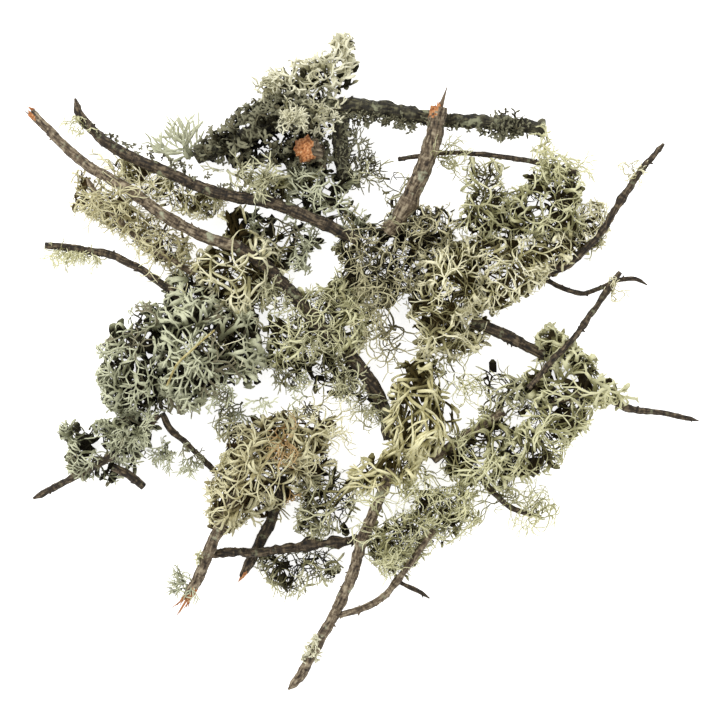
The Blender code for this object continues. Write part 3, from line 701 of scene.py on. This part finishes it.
# Tuft on a twig: finish, slot, habit, plants, where it starts and ends in plan, spread, flow, size.
TUFTS = {
    "edge_sprigs": ("antler", "antler_lichen", "sprig", 4, (-89, 101), (-84, 104), 1, (-0.06, 0.18, 0.02),
                    1.6),
    "bar_end_strings": ("green_oakmoss", "oakmoss_lichen", "sprig", 14, (84, 112), (97, 99), 4,
                        (0.06, -0.08, 0), 1.1),
    "thin_twig_tuft": ("antler", "antler_lichen", "sprig", 9, (-98, -38), (-98, -46), 2, (-0.05, -0.14, 0),
                       0.8),
    "thin_twig_sprig": ("antler", "antler_lichen", "sprig", 6, (-87, -45), (-86, -50), 2, (0.02, -0.1, 0),
                        0.75),
    "pale_twig_tuft": ("pale_plume", "leafy_lichen", "rosette", 26, (-23, -137), (-29, -150), 2, (0, 0, 0),
                       0.9),
    "broken_twig_tuft": ("antler", "antler_lichen", "sprig", 9, (-88, -108), (-90, -113), 2,
                         (-0.1, 0.02, 0), 0.75),
    "left_twig_fringe": ("green_oakmoss", "oakmoss_lichen", "strings", 26, (-157, 58), (-136, 57), 1.5,
                         (0, -0.2, -0.02), 0.5),
    "second_twig_tuft": ("green_oakmoss", "oakmoss_lichen", "strings", 10, (-144, 124), (-139, 116), 1.5,
                         (0, 0, 0), 0.45),
    "second_twig_crust": ("leafy_crust", "leafy_lichen", "rosette", 45, (-140, 118), (-60, 84), 1.8,
                          (0, 0, 0), 0.5),
    "upper_twig_tuft": ("pale_oakmoss", "oakmoss_lichen", "strings", 8, (132, 97), (136, 93), 1.5,
                        (0, 0, 0), 0.5),
    "bar_rosette": ("leafy_crust", "leafy_lichen", "rosette", 90, (66, 117), (78, 118), 4, (0, 0, 0), 0.9),
    "bar_crust": ("leafy_crust", "leafy_lichen", "rosette", 110, (-16, 124), (30, 119), 3, (0, 0, 0), 0.75),
    "bar_specks": ("leafy_crust", "leafy_lichen", "rosette", 50, (30, 119), (66, 117), 2.5, (0, 0, 0), 0.5),
    "hanging_stub_crust": ("leafy_crust", "leafy_lichen", "rosette", 70, (-11, 120), (-10, 97), 4,
                           (0, 0, 0), 0.8),
    "hole_edge_tuft": ("wiry", "wiry_lichen", "strings", 18, (4, 24), (16, 14), 6, (0, 0, 0), 1.1),
    "knot_edge_tuft": ("leafy_crust", "leafy_lichen", "sprig", 12, (-5, 108), (0, 94), 3, (0.02, 0, 0),
                       0.9),
    "plume_edge_tuft": ("pale_plume", "leafy_lichen", "plume", 6, (-46, 138), (-38, 143), 2,
                        (-0.02, 0.02, 0), 0.6),
    "crust_edge_tuft": ("dark_net", "leafy_lichen", "sprig", 14, (-70, 96), (-48, 90), 3, (0, -0.04, 0),
                        1.0),
    "cream_edge_tuft": ("green_oakmoss", "oakmoss_lichen", "strings", 12, (42, -4), (56, -16), 3,
                        (0, 0, 0), 0.9),
    "lower_edge_tuft": ("green_oakmoss", "oakmoss_lichen", "strings", 14, (18, -58), (34, -66), 4,
                        (0, 0, 0), 1.0),
    "fringe_twig_tuft": ("brown_oakmoss", "oakmoss_lichen", "strings", 26, (-132, 84), (-92, 50), 4,
                         (0, 0, 0), 0.9),
    "fan_holdfast": ("rusty", "oakmoss_lichen", "strings", 9, (-42, -33), (-39, -42), 1.5,
                     (0, -0.05, 0.03), 0.62),
    "fan_foot": ("rusty", "oakmoss_lichen", "strings", 5, (-37, -62), (-34, -66), 1.5, (0, 0.02, 0.03),
                 0.5),
    "net_edge_tuft": ("green_oakmoss", "oakmoss_lichen", "strings", 14, (6, -70), (9, -98), 3, (0, 0, 0),
                      1.0),
    "fan_edge_tuft": ("pale_oakmoss", "oakmoss_lichen", "strings", 12, (-24, -22), (-20, -38), 2.5,
                      (0.08, 0.02, 0), 0.95),
    "pale_crust_lobes": ("pale_plume", "leafy_lichen", "plume", 11, (-40, 121), (-16, 122), 3,
                         (0, 0, 0.02), 0.55),
    "stub_tuft": ("green_oakmoss", "oakmoss_lichen", "strings", 10, (34, 104), (42, 101), 3,
                  (0.08, 0.02, 0), 0.7),
    "lower_right_tuft": ("green_oakmoss", "oakmoss_lichen", "strings", 26, (62, -63), (90, -77), 3,
                         (0, 0, 0), 0.85),
    "dark_twig_tuft": ("green_oakmoss", "oakmoss_lichen", "sprig", 4, (-82, -97), (-80, -96), 1.5,
                       (0, 0, 0), 0.5),
    "diagonal_tuft": ("pale_oakmoss", "oakmoss_lichen", "strings", 7, (122, 41), (124, 34), 1.5, (0, 0, 0),
                      0.45),
    "antler_bridge": ("antler", "antler_lichen", "antler", 6, (-80, -17), (-30, -20), 3, (0.02, -0.04, 0),
                      0.55),
    "spine_lichen": ("dark_net", "wiry_lichen", "fuzz", 75, (-54, 47), (8, -32), 4, (0, 0, 0.02), 1.1),
    "lower_left_lichen": ("antler", "antler_lichen", "sprig", 16, (-132, -48), (-106, -28), 3,
                          (0, 0, 0.03), 0.8),
}


def grow_tuft(name, land, settings):
    """Small plants that sit on the nearest twig."""
    skin, slot, habit, count, start, end, spread, flow, size = TUFTS[name]
    rng = np.random.default_rng([settings.seed, 100 + sorted(TUFTS).index(name)])
    share = rng.random((count, 1))
    plan = np.array(start) * (1 - share) + np.array(end) * share + rng.normal(0, spread * 0.5, (count, 2))
    stations = np.vstack([np.column_stack(smooth_line(*twig_line(twig), 1.5)[:2]) for twig in TWIGS])
    gaps = np.linalg.norm(stations[None, :, :2] - plan[:, None], axis=2) - stations[None, :, 3]
    seats = stations[np.argmin(gaps, axis=1)]
    angle = rng.uniform(-0.4, math.pi + 0.4, count)
    heights = np.maximum(seats[:, 2] + seats[:, 3] * np.sin(angle) * 0.8, land.at(land.ceiling, plan) - 1.5)
    places = np.column_stack([plan, heights])
    ways = rng.normal(0, 0.7, (count, 3)) + np.array(flow) * 5
    ways[:, 2] = np.abs(ways[:, 2]) * 0.6
    bm = bmesh.new()
    plants = Growth(bm, HABITS[habit], land, rng, bounded=False)
    plants.sow(places, ways, rng.uniform(-0.4, 0.8, count), size)
    plants.vigour *= size
    plants.grow(flow)
    hand_over(bm, name, finish(skin), solid=HABITS[habit].thick)


# ---------------------------------------------------------------- bark and broken wood

# Each twig: bark, how lumpy it is, how its outer end looks (tip, cut or broken) and its slot.
TWIGS = {
    "long_twig": ("weathered_bark", 0.30, "broken", "grey_bark"),
    "second_twig": ("rough_bark", 0.45, "tip", "dark_bark"),
    "left_twig": ("rough_bark", 0.30, "cut", "dark_bark"),
    "side_twig": ("weathered_bark", 0.30, "tip", "grey_bark"),
    "spine_twig": ("rough_bark", 0.45, "cut", "dark_bark"),
    "top_bar": ("crusted_bark", 0.95, "cut", "dark_bark"),
    "hanging_stub": ("crusted_bark", 0.95, "cut", "dark_bark"),
    "broken_knot": ("weathered_bark", 3.20, "face", "broken_wood"),
    "thick_stub": ("weathered_bark", 0.55, "spike", "grey_bark"),
    "thin_bar": ("rough_bark", 0.25, "cut", "dark_bark"),
    "upper_right_twig": ("rough_bark", 0.45, "tip", "dark_bark"),
    "curved_twig": ("rough_bark", 0.25, "tip", "dark_bark"),
    "diagonal_twig": ("rough_bark", 0.35, "tip", "dark_bark"),
    "far_right_twig": ("rough_bark", 0.30, "tip", "dark_bark"),
    "lower_right_twig": ("rough_bark", 0.30, "tip", "dark_bark"),
    "bottom_twig": ("weathered_bark", 0.45, "tip", "grey_bark"),
    "bottom_side_twig": ("weathered_bark", 0.25, "joined", "grey_bark"),
    "bottom_twiglet": ("rough_bark", 0.20, "tip", "dark_bark"),
    "broken_twig": ("weathered_bark", 0.40, "torn", "grey_bark"),
    "cross_twig": ("rough_bark", 0.80, "cut", "dark_bark"),
    "dark_twig": ("rough_bark", 0.40, "pale", "dark_bark"),
    "lower_left_twig": ("rough_bark", 0.35, "tip", "dark_bark"),
    "lower_left_stub": ("rough_bark", 0.25, "cut", "dark_bark"),
    "thin_dark_twig": ("rough_bark", 0.30, "cut", "dark_bark"),
    "right_centre_twig": ("rough_bark", 0.50, "cut", "dark_bark"),
    "centre_right_twig": ("weathered_bark", 0.40, "cut", "grey_bark"),
    "grass_stem": ("dry_straw", 0.05, "cut", "straw"),
}
TWIG_SIDES = 18           # sides of a twig's cross-section
BUD_SPACING = 5.0         # distance between the buds along a twig
RUN_ON = 2.0              # how far a twig's hidden end runs into what it grows from
THINNEST = 0.25           # least radius of a twig
SCAR = 4.5                # how far torn wood shows down one side of a broken end
# Broken end: slivers of torn wood, the length of the longest, and that of one more that keeps its bark.
SLIVERS = {"spike": (5, 4.0, 12.0), "torn": (10, 15.0, 6.0), "broken": (5, 3.0, 4.0), "face": (5, 3.0, 0.0),
           "pale": (3, 4.0, 0.0)}


def axes_along(points):
    """A direction and two square-on axes at each point, which turn as little as they can."""
    ahead = unit(np.gradient(points, axis=0))
    side = np.cross(ahead[0], (0.0, 0.0, 1.0))
    sides = []
    for way in ahead:
        side = side - way * float(np.dot(side, way))
        side = side / np.linalg.norm(side)
        sides.append(side)
    sides = np.array(sides)
    return ahead, sides, np.cross(ahead, sides)


def twig_shape(name, lump, ending, spacing):
    """A twig with lumpy bark along its packed line, drawn to a point or left with a ragged end."""
    places, radii = twig_line(name)
    if ending == "joined":
        places = np.vstack([places[0] - unit(places[1:2] - places[:1])[0] * RUN_ON, places])
        radii = np.append(radii[:1], radii)
    places = np.vstack([places, places[-1] + unit(places[-1:] - places[-2:-1])[0] * RUN_ON])
    radii = np.append(radii, radii[-1])
    line, girth, run = smooth_line(places, radii, spacing)
    wobble = np.array([noise.noise_vector(Vector(p) * 0.13) for p in line]) * (lump * 0.7 + 0.15)
    fade = np.clip(run / 6.0, 0, 1)[:, None]
    line = line + wobble * fade
    if ending == "tip":
        girth = girth * np.clip(0.35 + run / 6.0, 0, 1)
    ahead, across, upward = axes_along(line)
    bm = bmesh.new()
    laid = bm.verts.layers.float_vector.new("laid")
    rim = bmesh.ops.create_circle(bm, segments=TWIG_SIDES, radius=1.0)["verts"]
    angles = [math.atan2(v.co.y, v.co.x) for v in rim]
    edges = list(bm.edges)
    lowest = bmesh.ops.contextual_create(bm, geom=edges)["faces"]
    offset = Vector((len(name) * 3.7, ord(name[0]) * 1.3, 0))   # each twig reads the noise somewhere else
    for k in range(len(line)):
        if k:
            made = bmesh.ops.extrude_edge_only(bm, edges=edges)["geom"]
            follow = followers(made, set(rim))
            rim = [follow[v] for v in rim]
            members = set(rim)
            edges = [e for e in made if isinstance(e, bmesh.types.BMEdge) and set(e.verts) <= members]
        for v, angle in zip(rim, angles):
            out = across[k] * math.cos(angle) + upward[k] * math.sin(angle)
            flat = Vector((math.cos(angle) * girth[k], math.sin(angle) * girth[k], run[k]))
            v.co = Vector(line[k] + out * bark_radius(girth[k], lump, flat + offset, offset.x, run[k])) * MM
            v[laid] = flat * MM
    bmesh.ops.contextual_create(bm, geom=edges)
    bmesh.ops.recalc_face_normals(bm, faces=bm.faces)
    if name != "grass_stem":
        rng = np.random.default_rng(len(name) + ord(name[-6]))
        for k in rng.integers(3, len(line) - 1, int(run[-1] / BUD_SPACING)):
            bud(bm, line[k], ahead[k], across[k], upward[k], girth[k], rng)
    if ending in SLIVERS:
        for face in lowest:
            face.material_index = 1
        for face in bm.faces:
            about = sum((v[laid] for v in face.verts), Vector()) / len(face.verts) / MM
            if about.z < SCAR * (1 + noise.noise(about)) and about.x > about.length_squared * 0.01:
                face.material_index = 1
        splinter(bm, line[0], -ahead[0], girth[0], *SLIVERS[ending], np.random.default_rng(len(name)))
    return bm


def bark_radius(girth, lump, flat, phase, run):
    """How far out the bark stands at a place: lumps, fine roughness, and knots that go all round."""
    rough = noise.fractal(flat * 0.28, 0.9, 2.1, 3) * lump * 1.2 + noise.noise(flat * 1.1) * lump * 0.5
    knot = max(0.0, noise.noise(Vector((0.5, phase, run * 0.13))) - 0.12) * lump * 3.0
    return max(girth + rough * min(1.0, girth * 0.6) + knot, THINNEST)


def bud(bm, place, ahead, across, upward, girth, rng):
    """A short dark bud or the stub of a lost side twig."""
    angle = rng.uniform(0, 2 * math.pi)
    out = across * math.cos(angle) + upward * math.sin(angle)
    lean = Vector(out - ahead * rng.uniform(0.2, 1.2)).normalized()
    length = rng.uniform(0.4, 1.3) + girth * 0.4
    spot = Vector(place + out * girth * 0.7) + lean * length / 2
    at = Matrix.Translation(spot * MM) @ lean.to_track_quat("Z", "Y").to_matrix().to_4x4()
    bmesh.ops.create_cone(bm, cap_ends=True, segments=7, radius1=min(girth * 0.5, 0.9) * MM,
                          radius2=0.2 * MM,
                          depth=length * MM, matrix=at)


def splinter(bm, place, way, girth, count, longest, barked, rng):
    """Slivers that stand out of a broken end: torn wood, and perhaps one that keeps its bark."""
    for k in range(count + (barked > 0)):
        torn = k < count
        before = set(bm.faces)
        lean = Vector(way + rng.normal(0, 0.16, 3)).normalized()
        spot = Vector(place + rng.normal(0, girth * 0.38, 3)) - lean * girth
        length = (longest * rng.uniform(0.35, 1.0) if torn else barked) + girth
        wide = girth * rng.uniform(0.22, 0.5)
        turned = lean.to_track_quat("Z", "Y").to_matrix().to_4x4()
        squashed = Matrix.Diagonal((1.0, rng.uniform(0.3, 0.6), 1.0, 1.0))
        at = Matrix.Translation((spot + lean * length / 2) * MM) @ turned @ squashed
        bmesh.ops.create_cone(bm, cap_ends=True, segments=5, radius1=wide * MM, radius2=0.06 * MM,
                              depth=length * MM, matrix=at)
        for face in set(bm.faces) - before:
            face.material_index = int(torn)


# ---------------------------------------------------------------- finishes

def weigh(tree, start, *terms):
    """start plus each value times its weight."""
    total = start
    for value, weight in terms:
        total = add(tree, "ShaderNodeMath", {0: value, 1: weight, 2: total},
                    operation="MULTIPLY_ADD").outputs[0]
    return total


def lichen_finish(name, dark, middle, pale):
    """Lichen skin: dark and brown at the holdfast, paler and greener at the tips, and darkened by painted
    shade far below the crown.

    Dry lichen is a felt of fungus threads, so it has hardly any shine. Blotches a few lobes wide and specks
    under a millimetre keep two lobes side by side from having one colour."""
    made, tree = new_material(name)
    age, tone, deep = (add(tree, "ShaderNodeAttribute", attribute_name=n).outputs["Fac"]
                       for n in ("age", "tone", "deep"))
    place = add(tree, "ShaderNodeTexCoord").outputs["Object"]
    blotch, speck = (add(tree, "ShaderNodeTexNoise", {"Vector": place, "Scale": per_metre(size),
                                                      "Detail": detail}).outputs["Fac"]
                     for size, detail in ((6, 3.0), (0.9, 2.0)))
    # The painted shade term darkens lichen that lies far below the crown.
    level = weigh(tree, 0.0, (age, 0.42), (tone, 0.42), (blotch, 0.50), (speck, 0.20), (deep, -0.78))
    shade = ramp(tree, level, [(0.08, dark), (0.42, middle), (0.76, pale)])
    lumps = add(tree, "ShaderNodeBump", {"Strength": 0.25, "Distance": 0.3 * MM, "Height": speck})
    show(tree, {"Base Color": shade, "Roughness": 0.9, "IOR": 1.45, "Specular IOR Level": 0.25,
                "Normal": lumps.outputs["Normal"]})
    return made


# Lichen: (dark, middle, pale) of the upper skin, then of the underside.
LICHENS = {
    # Dry antler lichen: ash grey above, and brown to black below, so its folds are seen as dark lines.
    "antler": (("#1e1a0c", "#7b7c5f", "#cfd1b2"), ("#120f08", "#38321f", "#7b755e")),
    # Dry oakmoss is cream to straw, with both sides nearly alike, so its clumps look light and soft. These
    # five go from the palest, a copy whose extra paleness is painted light for clumps in full light, through
    # green and yellow to brown and rust.
    # Painted light: the cream of oakmoss made paler where a clump stands in full light.
    "pale_oakmoss": (("#3b3013", "#aea87a", "#f1ecc9"), ("#43381a", "#b4ae80", "#f1ecca")),
    "green_oakmoss": (("#2c2410", "#918e62", "#dedcb3"), ("#332a13", "#969266", "#dddab1")),
    "yellow_oakmoss": (("#3d3413", "#b3ab78", "#efe9bd"), ("#463c19", "#b9b17e", "#efeabf")),
    "brown_oakmoss": (("#392b13", "#a1976c", "#e0dab3"), ("#403118", "#a59b70", "#e0dab3")),
    "rusty": (("#3a260f", "#8d693a", "#cbae7e"), ("#3a260f", "#8d693a", "#cbae7e")),
    # Wiry lichen: thin threads of dull olive, which leave the clump dark inside.
    "wiry": (("#171205", "#6d6749", "#cfc9a3"), ("#171205", "#625c40", "#bcb591")),
    # An open net of old threads: darker, with pale ends that stand out as specks.
    "dark_net": (("#1a1507", "#6f6b4a", "#d1cfab"), ("#1d1809", "#686343", "#c4c19b")),
    # Leafy crust: small, tight and nearly black, the darkest growth on the tangle.
    "leafy_crust": (("#080602", "#322e1c", "#84826a"), ("#080602", "#211d11", "#5c5741")),
    # Plume: pale grey-green leaves like a small cauliflower.
    "pale_plume": (("#25220f", "#a09c7a", "#e6e3c8"), ("#25200f", "#8f8a68", "#d2ceaf")),
}


def bark_finish(name, dark, middle, pale, crust, cover):
    """Bark: fissured along the twig and ringed across it, with thin crusts of lichen on it."""
    made, tree = new_material(name)
    laid = add(tree, "ShaderNodeAttribute", attribute_name="laid").outputs["Vector"]
    grain, rings, patch = (
        add(tree, "ShaderNodeTexNoise", {
            "Vector": add(tree, "ShaderNodeVectorMath", {0: laid, 1: squeeze},
                          operation="MULTIPLY").outputs[0],
            "Scale": per_metre(size), "Detail": detail}).outputs["Fac"]
        for squeeze, size, detail in (((1.0, 1.0, 0.28), 1.1, 4.0), ((0.35, 0.35, 1.6), 1.7, 3.0),
                                      ((1.0, 1.0, 1.0), 7, 6.0)))
    wood = ramp(tree, weigh(tree, -1.10, (grain, 2.2), (rings, 1.0)),
                [(0.1, dark), (0.5, middle), (0.95, pale)])
    edge = add(tree, "ShaderNodeMapRange", {"Value": patch, "From Min": cover,
                                            "From Max": cover + 0.06}).outputs[0]
    shade = add(tree, "ShaderNodeMix", {"Factor": edge, 6: wood, 7: crust}, data_type="RGBA").outputs[2]
    relief = weigh(tree, 0.0, (grain, 0.7), (rings, 0.6), (edge, 0.3))
    lumps = add(tree, "ShaderNodeBump", {"Strength": 1.0, "Distance": 1.2 * MM, "Height": relief})
    show(tree, {"Base Color": shade, "Roughness": 0.8, "Normal": lumps.outputs["Normal"]})
    return made


# Bark: (dark, middle, pale), the lichen crust on it, and how bare it is of that crust.
BARKS = {
    # Dead bark bleached by weather: warm grey with dark cracks, the lightest wood of the tangle.
    "weathered_bark": (("#291f15", "#6c5d49", "#b0a288"), "#a9aa8e", 0.60),
    # Bark of a living twig: dark brown and rough, so it is seen as a dark line between the lichens.
    "rough_bark": (("#0f0b06", "#382d1f", "#796a53"), "#86876a", 0.59),
    # Bark under a thin black-green crust: nearly black, with pale specks.
    "crusted_bark": (("#0c0a05", "#302c1d", "#6b674c"), "#8f9073", 0.56),
    # A dry grass stem: smooth pale straw.
    "dry_straw": (("#7d6f3c", "#b5a76c", "#d9cf9d"), "#c9c193", 0.95),
}


@lru_cache(maxsize=None)
def torn_wood():
    """Fresh torn wood, the one warm colour of the tangle: orange, with darker and paler fibres."""
    made, tree = new_material("torn_wood")
    place = add(tree, "ShaderNodeTexCoord").outputs["Object"]
    fibre = add(tree, "ShaderNodeTexNoise", {"Vector": place, "Scale": per_metre(1.2),
                                             "Detail": 4.0}).outputs["Fac"]
    stops = ((0.30, "#6a3716"), (0.5, "#b5723d"), (0.72, "#e0b384"))
    shade = ramp(tree, fibre, [(position, linear(colour)) for position, colour in stops])
    lumps = add(tree, "ShaderNodeBump", {"Strength": 0.5, "Distance": 0.4 * MM, "Height": fibre})
    show(tree, {"Base Color": shade, "Roughness": 0.75, "Normal": lumps.outputs["Normal"]})
    return made


@lru_cache(maxsize=None)
def finish(name):
    """The two materials of one finish: upper skin and underside, or bark and the torn wood under it."""
    main = tuple(getattr(bpy.context.scene.tangle_colours, name))
    if name in LICHENS:
        (dark, _, pale), under = LICHENS[name]
        return [lichen_finish(name, linear(dark), main, linear(pale)),
                lichen_finish(name + "_underside", *map(linear, under))]
    (dark, _, pale), crust, cover = BARKS[name]
    return [bark_finish(name, linear(dark), main, linear(pale), linear(crust), cover), torn_wood()]


# ---------------------------------------------------------------- the add-on

class TangleColours(bpy.types.PropertyGroup):
    """The main colour of each lichen and bark."""

    __annotations__ = {
        name: FloatVectorProperty(name=name.replace("_", " ").capitalize(),
                                  description="Main colour of this finish",
                                  size=4, default=linear(colours[0][1]), min=0.0, max=1.0, subtype="COLOR")
        for name, colours in (LICHENS | BARKS).items()
    }


class TangleSettings(bpy.types.PropertyGroup):
    """What can be turned on the tangle."""

    seed: IntProperty(name="Seed", description="Which tangle grows", default=5, min=1)
    density: FloatProperty(name="Density", description="Lichen plants, as a share of the usual number",
                           default=1.0,
                           min=0.05, max=2.0)
    ring_spacing: FloatProperty(name="Ring spacing",
                                description="Distance between the rings of a twig's bark",
                                default=0.0013, min=0.0005, max=0.01, subtype="DISTANCE", unit="LENGTH")
    camera_height: FloatProperty(name="Camera height", description="Height of the camera over the floor",
                                 default=2.014, min=0.3, max=5.0, subtype="DISTANCE", unit="LENGTH")
    camera_place: FloatVectorProperty(name="Camera place", description="Plan position of the camera",
                                      size=2,
                                      default=(-0.00225, 0.00125), subtype="TRANSLATION", unit="LENGTH")
    floor_size: FloatProperty(name="Floor size", description="Side of the floor", default=6.0, min=1.0,
                              subtype="DISTANCE", unit="LENGTH")


@lru_cache(maxsize=1)
def read_land():
    """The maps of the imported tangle, which are read once."""
    lines = [(twig_line(name), shown) for name, shown in IN_SIGHT.items()]
    return Land(CLUMPS, lines)


class LICHEN_OT_twigs(bpy.types.Operator):
    """Gives every packed twig its bark and its broken ends"""

    bl_idname = "lichen.twigs"
    bl_label = "Twigs"

    def execute(self, context):
        settings = context.scene.lichen_tangle
        noise.seed_set(settings.seed)      # or else noise vectors would follow the clock
        for name, (bark, lump, ending, slot) in TWIGS.items():
            bm = twig_shape(name, lump, ending, settings.ring_spacing / MM)
            hand_over(bm, name + "_bark", finish(bark), [name])
        return {"FINISHED"}


class LICHEN_OT_clumps(bpy.types.Operator):
    """Grows lichen in every packed clump"""

    bl_idname = "lichen.clumps"
    bl_label = "Lichen clumps"

    def execute(self, context):
        land = read_land()
        for name in CLUMPS:
            grow_clump(name, land, context.scene.lichen_tangle)
        return {"FINISHED"}


class LICHEN_OT_tufts(bpy.types.Operator):
    """Grows the small tufts and crusts that sit on the twigs"""

    bl_idname = "lichen.tufts"
    bl_label = "Small tufts"

    def execute(self, context):
        land = read_land()
        for name in TUFTS:
            grow_tuft(name, land, context.scene.lichen_tangle)
        return {"FINISHED"}


FLOOR_GLOW = 0.8          # light that the floor gives off
SKY = 0.55                # strength of the white light from all round
# Lamp: name, place in metres, size in metres, watts. Both point at the middle of the tangle.
LIGHTS = (("key", (-0.9, 0.9, 1.5), 0.9, 26.0), ("fill", (1.1, -0.6, 1.4), 1.4, 8.0))
FOCAL_LENGTH = 200.0      # a long lens, so that high lobes don't lean outwards
SENSOR = 36.0             # width of its sensor, both in millimetres


class LICHEN_OT_stage(bpy.types.Operator):
    """Sets out a white floor, soft light and a camera that looks straight down"""

    bl_idname = "lichen.stage"
    bl_label = "Stage"

    def execute(self, context):
        settings = context.scene.lichen_tangle
        bpy.ops.mesh.primitive_plane_add(size=settings.floor_size)
        floor = context.object
        floor.name = "floor"
        # Matt white paper lit from below, so that it stays white and keeps only faint shadows.
        paper, tree = new_material("white_floor")
        show(tree, {"Base Color": linear("#f3f3f3"), "Roughness": 1.0, "Specular IOR Level": 0.0,
                    "Emission Color": linear("#ffffff"), "Emission Strength": FLOOR_GLOW})
        floor.data.materials.append(paper)
        world = bpy.data.worlds.new("studio")
        world.use_nodes = True
        sky = world.node_tree.nodes["Background"]
        sky.inputs["Color"].default_value = linear("#ffffff")
        sky.inputs["Strength"].default_value = SKY
        context.scene.world = world
        for name, place, size, watts in LIGHTS:
            light = bpy.data.lights.new(name, "AREA")
            light.size = size
            light.energy = watts
            lamp = bpy.data.objects.new(name, light)
            lamp.location = place
            lamp.rotation_euler = (-Vector(place)).to_track_quat("-Z", "Y").to_euler()
            context.scene.collection.objects.link(lamp)
        lens = bpy.data.cameras.new("camera")
        lens.lens = FOCAL_LENGTH
        lens.sensor_width = SENSOR
        camera = bpy.data.objects.new("camera", lens)
        camera.location = (*settings.camera_place, settings.camera_height)
        context.scene.collection.objects.link(camera)
        context.scene.camera = camera
        context.scene.view_settings.view_transform = "Standard"
        return {"FINISHED"}


class LICHEN_PT_tangle(bpy.types.Panel):
    """The tangle's steps, in the order in which they are run"""

    bl_idname = "LICHEN_PT_tangle"
    bl_label = "Lichen Tangle"
    bl_space_type = "VIEW_3D"
    bl_region_type = "UI"
    bl_category = "Lichen"

    def draw(self, context):
        for settings in (context.scene.lichen_tangle, context.scene.tangle_colours):
            for name in settings.bl_rna.properties.keys():
                if name not in ("rna_type", "name"):
                    self.layout.prop(settings, name)
        for operator in OPERATORS:
            self.layout.operator(operator.bl_idname)


OPERATORS = (LICHEN_OT_twigs, LICHEN_OT_clumps, LICHEN_OT_tufts, LICHEN_OT_stage)


CLASSES = (TangleSettings, TangleColours, *OPERATORS, LICHEN_PT_tangle)


def register():
    """Registers the settings, the operators and the panel."""
    for made in CLASSES:
        bpy.utils.register_class(made)
    bpy.types.Scene.lichen_tangle = PointerProperty(type=TangleSettings)
    bpy.types.Scene.tangle_colours = PointerProperty(type=TangleColours)


def unregister():
    """Takes away what register added."""
    del bpy.types.Scene.tangle_colours
    del bpy.types.Scene.lichen_tangle
    for made in reversed(CLASSES):
        bpy.utils.unregister_class(made)


def main():
    """Builds the tangle and its stage."""
    register()
    bpy.ops.lichen.twigs()
    bpy.ops.lichen.clumps()
    bpy.ops.lichen.tufts()
    bpy.ops.lichen.stage()
    bpy.context.view_layer.update()


if __name__ == "__main__":
    main()
